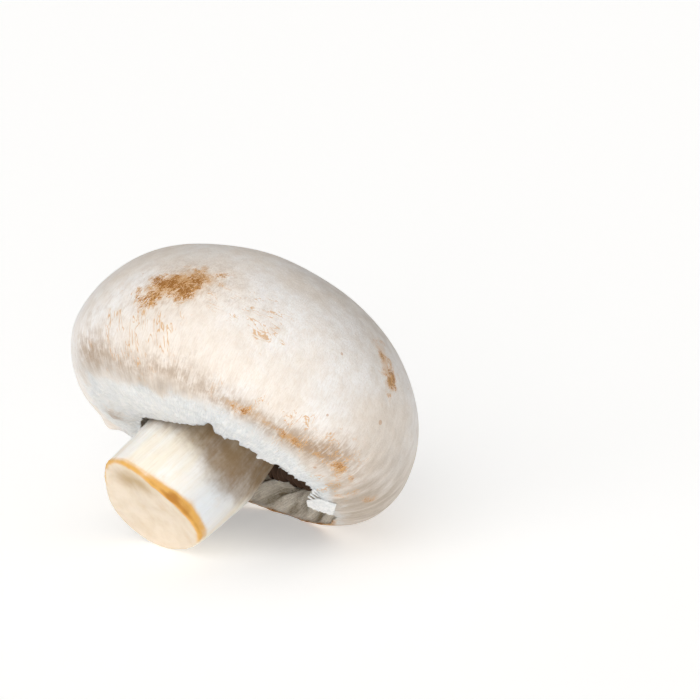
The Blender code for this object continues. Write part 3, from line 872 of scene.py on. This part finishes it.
def build_cap(looks):
    """The cap as one closed surface: the places of cap_grid, pushed in or out along their
    normals by soft unevenness, lumps, and fluff on the veil."""
    grid, turn, inside, crest, angles = cap_grid(looks)
    side = np.degrees(angles)
    side = np.where(side > 180.0, side - 360.0, side)
    border = np.interp(side, *np.array(VEIL_BORDER).T)
    cotton = smooth(-13.0, 13.0, turn - border + 4.5 * drift(grid, 4.0, 3))
    cotton = np.where(inside > 0.0, 0.6, cotton)

    step = np.linalg.norm(np.diff(grid, axis=0), axis=-1)
    down = np.vstack((step[:1] * 0.0, np.cumsum(step, 0)))
    brink = down[DOME_ROWS + LIP_ROWS - 1]
    reach = np.where(turn < 90.0, np.hypot(grid[..., 0], grid[..., 1]), CAP_RADIUS)
    fibre = around(reach, down, angles + LINING_TWIST * inside * (down - brink) / CAP_RADIUS)

    ridge = drift(fibre * (1.0, 1.0, 0.22), RIDGE_SIZE, 11)
    relief = looks.lump / MM * drift(grid, LUMP_SIZE, 7)
    relief = relief + RIDGE_HEIGHT * ridge * smooth(95.0, 150.0, turn)
    fluff = FLUFF_HEIGHT * drift(grid, FLUFF_SIZE, 13)
    tufts = TUFT_HEIGHT * drift(grid, TUFT_SIZE, 15)
    threads = THREAD_HEIGHT * drift(fibre * (0.25, 0.25, 1.0), THREAD_SIZE, 19)
    relief = relief + cotton * (fluff + tufts + threads) + marks(grid, LUMPS)
    relief = np.where(inside > 0.0, LINING_HEIGHT * ridge, relief - SKIN_SLACK)
    relief = relief * smooth(0.0, 8.0, turn)
    grid = grid + relief[..., None] * normals(grid)

    rows, columns = grid.shape[:2]
    crown = (0.0, 0.0, DOME_HEIGHT - 0.01)
    under = (0.0, 0.0, HOLLOW_MIDDLE + HOLLOW_HEIGHT)
    places = np.vstack((crown, grid.reshape(-1, 3), under))
    first = np.arange(columns)
    faces = fan_faces(1 + first, 0, True) + grid_faces(rows, columns, 1)
    faces += fan_faces(1 + (rows - 1) * columns + first, len(places) - 1, False)

    def with_poles(values, top, bottom):
        """The values of the grid, with those of the two poles."""
        return np.concatenate(((top,), values.ravel(), (bottom,)))

    where, half_width, breadth = FRINGE
    dried = FRINGE_STRENGTH * bell(angles, where, half_width, 4)
    dried = dried * np.exp(-(((down - brink) / breadth) ** 2))
    attributes = {
        "fibre": np.vstack(((0.0, 0.0, 0.0), fibre.reshape(-1, 3), (0.0, 0.0, 99.0))),
        "cotton": with_poles(cotton, 0.0, 0.6),
        "inside": with_poles(inside * np.clip(1.0 - dried, 0.0, 1.0), 0.0, 1.0),
        "margin": with_poles(np.where(inside > 0.0, crest, smooth(80.0, 135.0, turn)), 0.0, 0.0),
    }
    for label, spots in (("bruise", BRUISES), ("scratch", SCRATCHES), ("scrape", SCRAPES),
                         ("stain", STAINS), ("grey", GREY_SKIN_AND_PAINTED_SHADE)):
        strength = marks(grid, spots) * (1.0 - inside) + (dried if label in ("bruise", "stain") else 0.0)
        attributes[label] = with_poles(strength, 0.0, 0.0)
    return add_piece("cap_flesh", lay_down(places), faces, cap_skin_material(looks), attributes,
                     "cap")


def closed_sheet(front, thickness):
    """Points and faces of a thin closed body: a grid of points, and the same grid set back
    along its normals by a thickness, joined along all four borders."""
    rows, columns = front.shape[:2]
    along = np.gradient(front, axis=1)
    down = np.gradient(front, axis=0)
    normal = np.cross(along, down)
    normal /= np.linalg.norm(normal, axis=-1, keepdims=True)
    back = front - normal * thickness[..., None]
    loop = np.concatenate((front, back[:, ::-1]), 1)
    around_faces = grid_faces(rows, 2 * columns)
    across = np.arange(columns - 1)
    start = np.stack((across, across + 1, 2 * columns - 2 - across, 2 * columns - 1 - across), -1)
    end = start[:, ::-1] + (rows - 1) * 2 * columns
    return loop, around_faces + start.tolist() + end.tolist()


def build_flap(looks):
    """The torn flap beside the opening, with torn strands next to it. It spans its measured
    corners with straight lines, lifts off the lip and ripples; each strand is a narrow strip
    between its two ends that thins to nothing."""
    share, fall = np.meshgrid(np.linspace(0.0, 1.0, FLAP_COLUMNS), np.linspace(0.0, 1.0, FLAP_ROWS))

    def on_veil(sides, radii):
        """Places on the veil's outside at sides and radii."""
        sides = np.radians(sides)
        radius, height, _ = lip_point(1.0, sides, radii)
        return around(radius, height, sides)

    upper, lower = (on_veil(*np.array(corners).T) for corners in (FLAP_UPPER, FLAP_LOWER))
    upper, lower = (np.stack([np.interp(share, FLAP_BENDS, line[:, axis]) for axis in range(3)], -1)
                    for line in (upper, lower))
    outward = np.array(FLAP_OUT) / np.linalg.norm(FLAP_OUT)
    ripple = 0.05 * np.sin(19.0 * share + 3.0 * fall) + 0.03 * np.sin(37.0 * share - 2.0 * fall)
    lift = FLAP_LIFT * (0.4 + 1.2 * fall) + ripple
    ragged = 0.03 * np.sin(31.0 * share) + 0.02 * np.sin(57.0 * share)
    front = upper + (lower - upper) * (fall + ragged * fall)[..., None] + lift[..., None] * outward
    sheets = [closed_sheet(front, np.interp(fall, (0.0, 1.0), FLAP_THICKNESS))]

    steps, across = np.linspace(0.0, 1.0, 12), np.array((-0.5, 0.0, 0.5))
    for first_side, first_radius, last_side, last_radius in STRANDS:
        start, end = on_veil(np.array((first_side, last_side)), np.array((first_radius, last_radius)))
        along = end - start
        aside = np.cross(along, outward)
        aside /= np.linalg.norm(aside)
        width = STRAND_WIDTH * (1.0 - 0.6 * steps**2)
        bow = STRAND_BOW * np.sin(np.pi * steps)
        middle = start + steps[:, None] * along + bow[:, None] * outward
        strip = middle[None] + (across[:, None] * width)[..., None] * aside
        sheets.append(closed_sheet(strip, np.full(strip.shape[:2], STRAND_THICKNESS)))

    points, faces = [], []
    for loop, sheet_faces in sheets:
        first = sum(len(part) for part in points)
        faces += [[first + corner for corner in face] for face in sheet_faces]
        points.append(loop.reshape(-1, 3))
    places = np.vstack(points)
    whole = np.ones(len(places))
    attributes = {"fibre": places * FLAP_FIBRES, "cotton": whole, "margin": whole}
    return add_piece("veil_flap", lay_down(places), faces, bpy.data.materials["mushroom cap skin"],
                     attributes, None)


def build_gills(looks):
    """The gills as one closed ring: blades in groups of four, one long and three shorter, each
    a thin wedge below the plate that waves from side to side with the radius."""
    foot = looks.thickness / MM / 2.0
    root = looks.root / MM / 2.0
    groups = looks.groups
    pitch = CIRCLE / groups
    count = len(BLADE_STARTS)
    random = np.random.default_rng(17)
    radii = np.linspace(PLATE_RADII[0], PLATE_RADII[-1], GILL_ROWS)[:, None, None, None]

    # axes: rows, groups, blades of a group, four columns across a blade
    offset = np.array((-root, -foot, foot, root))
    hanging = np.array((0.0, 1.0, 1.0, 0.0))
    starts = np.array(BLADE_STARTS)[:, None]
    place = (np.arange(groups)[:, None, None] + np.arange(count)[:, None] / count) * pitch
    phases = random.uniform(0.0, CIRCLE, (groups, count, 1))
    shift = random.normal(0.0, 0.03, (groups, count, 1))
    wave = looks.wave / MM * np.sin(radii / 1.7 + phases) + shift
    angles = place + (offset + wave) / radii

    floor = ceiling_height(radii) - GILL_ROOM - GILL_PLATE
    lower = np.interp(radii, *np.array(GILL_EDGE).T)
    grown = np.where(starts < 11.0, 1.0, smooth(0.0, BLADE_RISE, radii - starts))
    uneven = 1.0 + 0.04 * np.sin(radii * 1.3 + phases * 3.0)
    heights = floor + (lower - floor) * grown * hanging * uneven
    columns = groups * count * 4
    angles = np.broadcast_to(angles, (GILL_ROWS, groups, count, 4)).reshape(GILL_ROWS, columns)
    heights = np.broadcast_to(heights, (GILL_ROWS, groups, count, 4)).reshape(GILL_ROWS, columns)
    blades = around(radii.reshape(-1, 1), heights, angles)
    plate_radii = np.array(PLATE_RADII[::-1])[:, None]
    plate = around(plate_radii, ceiling_height(plate_radii) - GILL_ROOM,
                   np.linspace(0.0, CIRCLE, columns, endpoint=False))

    grid = np.concatenate((blades, plate))
    rows = len(grid)
    last = (rows - 1) * columns + np.arange(columns)
    first = np.arange(columns)
    closing = np.stack((last, first, np.roll(first, -1), np.roll(last, -1)), -1).tolist()
    edge = np.zeros((rows, columns))
    edge[:GILL_ROWS] = np.tile(hanging, groups * count)
    places = grid.reshape(-1, 3)
    attributes = {"fibre": places, "edge": edge.ravel()}
    return add_piece("gill_blades", lay_down(places), grid_faces(rows, columns) + closing,
                     gill_material(looks), attributes, "gills")


def stem_centre(below):
    """Middle of the stem at depths below the widest circle: it leans by powers of the way."""
    share = np.maximum(below, 0.0) / STEM_LENGTH
    aside, across = (lean * share**power for lean, power in zip(STEM_LEAN, STEM_BEND))
    return np.stack((aside, across, -below), -1)


def stem_outline(below, angles):
    """Radius of the stem: its width, times one plus its lobes, plus the bulge's bell curve."""
    share = np.maximum(below, 0.0) / STEM_LENGTH
    radius = np.interp(below, *np.array(STEM_WIDTHS).T)
    for lobes, size, turn in STEM_LOBES:
        radius = radius * (1.0 + size * share**2 * np.cos(lobes * (angles - np.radians(turn))))
    middle, half_length, side, half_width, height = STEM_BULGE
    away = ((below - middle) / half_length) ** 2 + (angle_from(angles, side) / half_width) ** 2
    return radius + height * np.exp(-away)


def stem_rings(centre, normal, radius, angles, depth):
    """Rings round the stem: each centre plus the radius along two directions across its
    normal, less the depth along the normal."""
    radius, depth = np.broadcast_arrays(radius, depth)
    centre, normal = (np.broadcast_to(line, (len(radius), 3)) for line in (centre, normal))
    normal = normal / np.linalg.norm(normal, axis=-1, keepdims=True)
    first = np.array((1.0, 0.0, 0.0)) - normal[..., :1] * normal
    first = first / np.linalg.norm(first, axis=-1, keepdims=True)
    second = np.cross(first, normal)
    turned = np.cos(angles)[:, None] * first[:, None] + np.sin(angles)[:, None] * second[:, None]
    return centre[:, None] + radius[..., None] * turned - depth[..., None] * normal[:, None]


def cut_depth(radius, angles):
    """How deep the cut face dips: a shallow bowl with two soft dents and a faint unevenness."""
    depth = CUT_HOLLOW * (1.0 - (radius / STEM_WIDTHS[-1][1]) ** 2)
    for along, aside, width, deep in CUT_DENTS:
        away = (radius * np.cos(angles) - along) ** 2 + (radius * np.sin(angles) - aside) ** 2
        depth = depth + deep * np.exp(-away / width**2)
    return depth


def build_stem(looks):
    """The stem as one closed surface: rings down the bent stalk, round the rim of the cut and
    in over its face, with long low fibres."""
    angles = np.linspace(0.0, CIRCLE, STEM_COLUMNS, endpoint=False)
    upright, cut = np.array((0.0, 0.0, -1.0)), np.array(CUT_NORMAL)
    relief = looks.relief / MM

    top_middle = stem_centre(np.array((-STEM_TOP,)))
    top = np.array(TOP_RINGS)[:, None] * stem_outline(np.array(-STEM_TOP), angles)
    top_rings = stem_rings(top_middle, upright, top, angles, 0.0)
    below = np.linspace(0.5 - STEM_TOP, STEM_LENGTH - 1.6 * CUT_ROUND, STEM_ROWS)[:, None]
    share = np.maximum(below, 0.0) / STEM_LENGTH
    fibre = around(TUBE_RADIUS, below, angles)
    ripple = drift(fibre * (1.0, 1.0, 0.12), 1.5, 21) + 0.8 * drift(fibre * (1.0, 1.0, 0.2), 4.0, 23)
    radius = stem_outline(below, angles) + relief * ripple * smooth(2.0, 9.0, below)
    side = stem_rings(stem_centre(below[:, 0]), (1.0 - share**2) * upright + share**2 * cut,
                      radius, angles, 0.0)

    end = stem_centre(np.array((STEM_LENGTH,)))
    outline = stem_outline(np.array(STEM_LENGTH), angles) + relief * ripple[-1]
    bends = np.radians(np.linspace(12.0, 90.0, RIM_ROWS))[:, None]
    rim = stem_rings(end, cut, outline - CUT_ROUND * (1.0 - np.cos(bends)), angles,
                     CUT_ROUND * (1.0 - np.sin(bends)))
    shares = np.linspace(1.0, 0.0, CUT_ROWS + 1)[1:-1, None]
    radius = shares * (outline - CUT_ROUND)
    grain = CUT_GRAIN * drift(around(radius, 0.0, angles) * (1.0, 0.5, 1.0), 2.2, 29)
    depth = cut_depth(radius, angles) * smooth(0.0, 0.12, 1.0 - shares)
    face = stem_rings(end, cut, radius, angles, depth + grain * smooth(0.0, 0.2, 1.0 - shares))
    middle = stem_rings(end, cut, np.zeros((1, 1)), angles[:1], cut_depth(0.0, angles[:1]))[0]

    grid = np.concatenate((top_rings, side, rim, face))
    rows, columns = grid.shape[:2]
    places = np.vstack((top_middle, grid.reshape(-1, 3), middle))
    first = np.arange(columns)
    faces = fan_faces(1 + first, 0, True) + grid_faces(rows, columns, 1)
    faces += fan_faces(1 + (rows - 1) * columns + first, len(places) - 1, False)

    rim_start = len(TOP_RINGS) + STEM_ROWS
    depth_down = np.full((rows, 1), STEM_LENGTH)
    depth_down[:len(TOP_RINGS)] = -STEM_TOP
    depth_down[len(TOP_RINGS):rim_start] = below
    inward = np.zeros((rows, 1))
    inward[rim_start + RIM_ROWS:] = 1.0 - shares
    on_cut = np.zeros((rows, columns))
    on_cut[rim_start + RIM_ROWS // 2:] = 1.0
    above_rim = STEM_LENGTH - 1.6 * CUT_ROUND - depth_down
    from_rim = np.where(depth_down < STEM_LENGTH, above_rim, CUT_FIBRES * inward)
    from_rim = from_rim + CUT_ROUND * np.pi / 4.0
    from_rim[rim_start:rim_start + RIM_ROWS] = CUT_ROUND * (bends - np.pi / 4.0)

    hot = bell(angles, *RUST)
    strength, more_strength, breadth, more_breadth = RIM_LINE
    rim_line = np.exp(-(from_rim / (breadth + more_breadth * hot)) ** 2)
    rim_line = rim_line * (strength + more_strength * hot)
    strength, more_strength, length = RIM_FADE
    rim_line = rim_line + (strength + more_strength * hot) * np.exp(-np.abs(from_rim) / length)
    upper = smooth(-0.35, 0.25, np.cos(np.radians(angle_from(angles, GOLD_SIDE))))
    uneven = 1.0 + 0.15 * drift(around(TUBE_RADIUS, 0.0, angles), 3.0, 31)
    rim_line = rim_line * upper * uneven

    # brown under the veil: partly painted shade of the veil, partly brown discolouration
    where, half_width, reach, further = SHADE_REACH
    reach = reach + further * bell(angles, where, half_width)
    veiled = smooth(-0.9, 0.2, np.cos(np.radians(angle_from(angles, SHADE_SIDE))))
    shade = smooth(4.5, -2.5, depth_down - reach) * veiled
    # bluish white flank: a painted cool shade
    where, half_width, start, full = COOL
    cool = bell(angles, where, half_width) * smooth(start, full, depth_down) * (1.0 - on_cut)
    # painted shade in and beside the cut's dent
    where, half_width, ring, breadth, strength = DENT_SHADE
    across = (TUBE_RADIUS * (1.0 - inward) - ring) / breadth
    dent = strength * bell(angles, where, half_width, 4) * np.exp(-across**2) * on_cut
    attributes = {"fibre": around(TUBE_RADIUS, depth_down + CUT_FIBRES * inward, angles)}
    for label, values in (("cut", on_cut), ("rim", rim_line), ("shade", shade), ("dent", dent),
                          ("cool", cool)):
        attributes[label] = np.broadcast_to(values, (rows, columns))
    ends = {"fibre": ((0.0, 0.0, 0.0), (0.0, 0.0, 40.0)), "cut": (0.0, 1.0)}
    for label, values in attributes.items():
        first_end, last_end = ends.get(label, (0.0, 0.0))
        attributes[label] = np.concatenate((np.array([first_end]), values.reshape(-1, *values.shape[2:]),
                                            np.array([last_end])))
    return add_piece("stem_flesh", lay_down(places), faces, stem_material(looks), attributes,
                     "stem")


def view_axes():
    """Directions of the view: forward, right and up, and the camera's place in millimetres."""
    height, side = np.radians(VIEW_HEIGHT), np.radians(VIEW_SIDE)
    forward = np.array((np.cos(height) * np.cos(side), np.cos(height) * np.sin(side), -np.sin(height)))
    right = np.array((np.sin(side), -np.cos(side), 0.0))
    up = np.cross(right, forward)
    place = np.array(CAP_CENTRE) + VIEW_OFFSET[0] * right + VIEW_OFFSET[1] * up - VIEW_DISTANCE * forward
    return forward, right, up, place


def turned(place, back, right, up):
    """A matrix that puts a camera or a light at a place in millimetres, looking away from back."""
    matrix = Matrix.Identity(4)
    for column, axis in enumerate((right, up, back)):
        for row in range(3):
            matrix[row][column] = axis[row]
    matrix.translation = place * MM
    return matrix


def add_light(name, azimuth, elevation, spread, strength):
    """A wide, far light that shines on the mushroom from an azimuth and elevation in degrees
    (azimuth 0 is from -Y), spread over an angle in degrees."""
    azimuth, elevation = np.radians((azimuth, elevation))
    level = np.array((np.sin(azimuth), -np.cos(azimuth), 0.0))
    back = np.cos(elevation) * level + np.array((0.0, 0.0, np.sin(elevation)))
    right = np.cross((0.0, 0.0, 1.0), back)
    right /= np.linalg.norm(right)
    light = bpy.data.lights.new(name, "SUN")
    light.angle = np.radians(spread)
    light.energy = strength
    lamp = bpy.data.objects.new(name, light)
    bpy.context.scene.collection.objects.link(lamp)
    place = np.array(CAP_CENTRE) + LIGHT_DISTANCE * back
    lamp.matrix_world = turned(place, back, right, np.cross(back, right))


def build_stage(looks):
    """A plain pale floor, plain soft light and the camera."""
    scene = bpy.context.scene
    scene.view_settings.view_transform = "Standard"
    half = looks.floor_size / 2.0
    mesh = bpy.data.meshes.new("floor")
    mesh.from_pydata([(-half, -half, 0.0), (half, -half, 0.0), (half, half, 0.0), (-half, half, 0.0)], [],
                     [(0, 1, 2, 3)])
    material, tree = new_tree("pale floor")
    shader = node(tree, PRINCIPLED, {
        "Base Color": opaque(looks.floor_colour), "Roughness": 0.9, "Specular IOR Level": 0.1,
        "Emission Color": (1.0, 1.0, 1.0, 1.0), "Emission Strength": looks.floor_glow})
    node(tree, OUTPUT, {"Surface": shader.outputs[0]})
    mesh.materials.append(material)
    floor = bpy.data.objects.new("floor", mesh)
    scene.collection.objects.link(floor)

    world = bpy.data.worlds.new("soft surroundings")
    scene.world = world
    world.use_nodes = True
    world.node_tree.nodes["Background"].inputs["Color"].default_value = (1.0, 1.0, 1.0, 1.0)
    world.node_tree.nodes["Background"].inputs["Strength"].default_value = looks.sky
    add_light("key", -74.0, 31.0, 60.0, looks.key)
    add_light("fill", -50.0, 9.0, 30.0, looks.fill)
    add_light("top", -20.0, 80.0, 90.0, looks.top)

    forward, right, up, place = view_axes()
    camera = bpy.data.cameras.new("camera")
    camera.sensor_width = SENSOR
    camera.lens = SENSOR * FOCAL_PIXELS / IMAGE_PIXELS
    camera.clip_start = 0.01
    eye = bpy.data.objects.new("camera", camera)
    scene.collection.objects.link(eye)
    eye.matrix_world = turned(place, -forward, right, up)
    scene.camera = eye


class MUSHROOM_OT_cap(bpy.types.Operator):
    """Make the cap with its veil"""
    bl_idname = "mushroom.cap"
    bl_label = "Cap and veil"

    def execute(self, context):
        build_cap(context.scene.mushroom_cap)
        build_flap(context.scene.mushroom_cap)
        return {"FINISHED"}


class MUSHROOM_OT_gills(bpy.types.Operator):
    """Make the gills"""
    bl_idname = "mushroom.gills"
    bl_label = "Gills"

    def execute(self, context):
        build_gills(context.scene.mushroom_gills)
        return {"FINISHED"}


class MUSHROOM_OT_stem(bpy.types.Operator):
    """Make the stem with its cut end"""
    bl_idname = "mushroom.stem"
    bl_label = "Stem"

    def execute(self, context):
        build_stem(context.scene.mushroom_stem)
        return {"FINISHED"}


class MUSHROOM_OT_stage(bpy.types.Operator):
    """Make the floor, the lights and the camera"""
    bl_idname = "mushroom.stage"
    bl_label = "Floor, light and camera"

    def execute(self, context):
        build_stage(context.scene.mushroom_stage)
        return {"FINISHED"}


SETTINGS = (("mushroom_cap", CapSettings), ("mushroom_gills", GillSettings),
            ("mushroom_stem", StemSettings), ("mushroom_stage", StageSettings))
OPERATORS = (MUSHROOM_OT_stage, MUSHROOM_OT_cap, MUSHROOM_OT_gills, MUSHROOM_OT_stem)


class MUSHROOM_PT_pieces(bpy.types.Panel):
    """The mushroom's pieces, each with its sizes and colours."""
    bl_label = "Button mushroom"
    bl_idname = "MUSHROOM_PT_pieces"
    bl_space_type = "VIEW_3D"
    bl_region_type = "UI"
    bl_category = "Mushroom"

    def draw(self, context):
        for operator in OPERATORS:
            self.layout.operator(operator.bl_idname)
        for name, kind in SETTINGS:
            box = self.layout.box()
            for label in kind.__annotations__:
                box.prop(getattr(context.scene, name), label)


def register():
    """Make the settings, the operators and the panel known to Blender."""
    for name, kind in SETTINGS:
        bpy.utils.register_class(kind)
        setattr(bpy.types.Scene, name, PointerProperty(type=kind))
    for operator in OPERATORS:
        bpy.utils.register_class(operator)
    bpy.utils.register_class(MUSHROOM_PT_pieces)


def unregister():
    """Take them all away again."""
    bpy.utils.unregister_class(MUSHROOM_PT_pieces)
    for operator in reversed(OPERATORS):
        bpy.utils.unregister_class(operator)
    for name, kind in reversed(SETTINGS):
        delattr(bpy.types.Scene, name)
        bpy.utils.unregister_class(kind)


def main():
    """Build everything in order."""
    register()
    bpy.ops.mushroom.stage()
    bpy.ops.mushroom.cap()
    bpy.ops.mushroom.gills()
    bpy.ops.mushroom.stem()


if __name__ == "__main__":
    main()
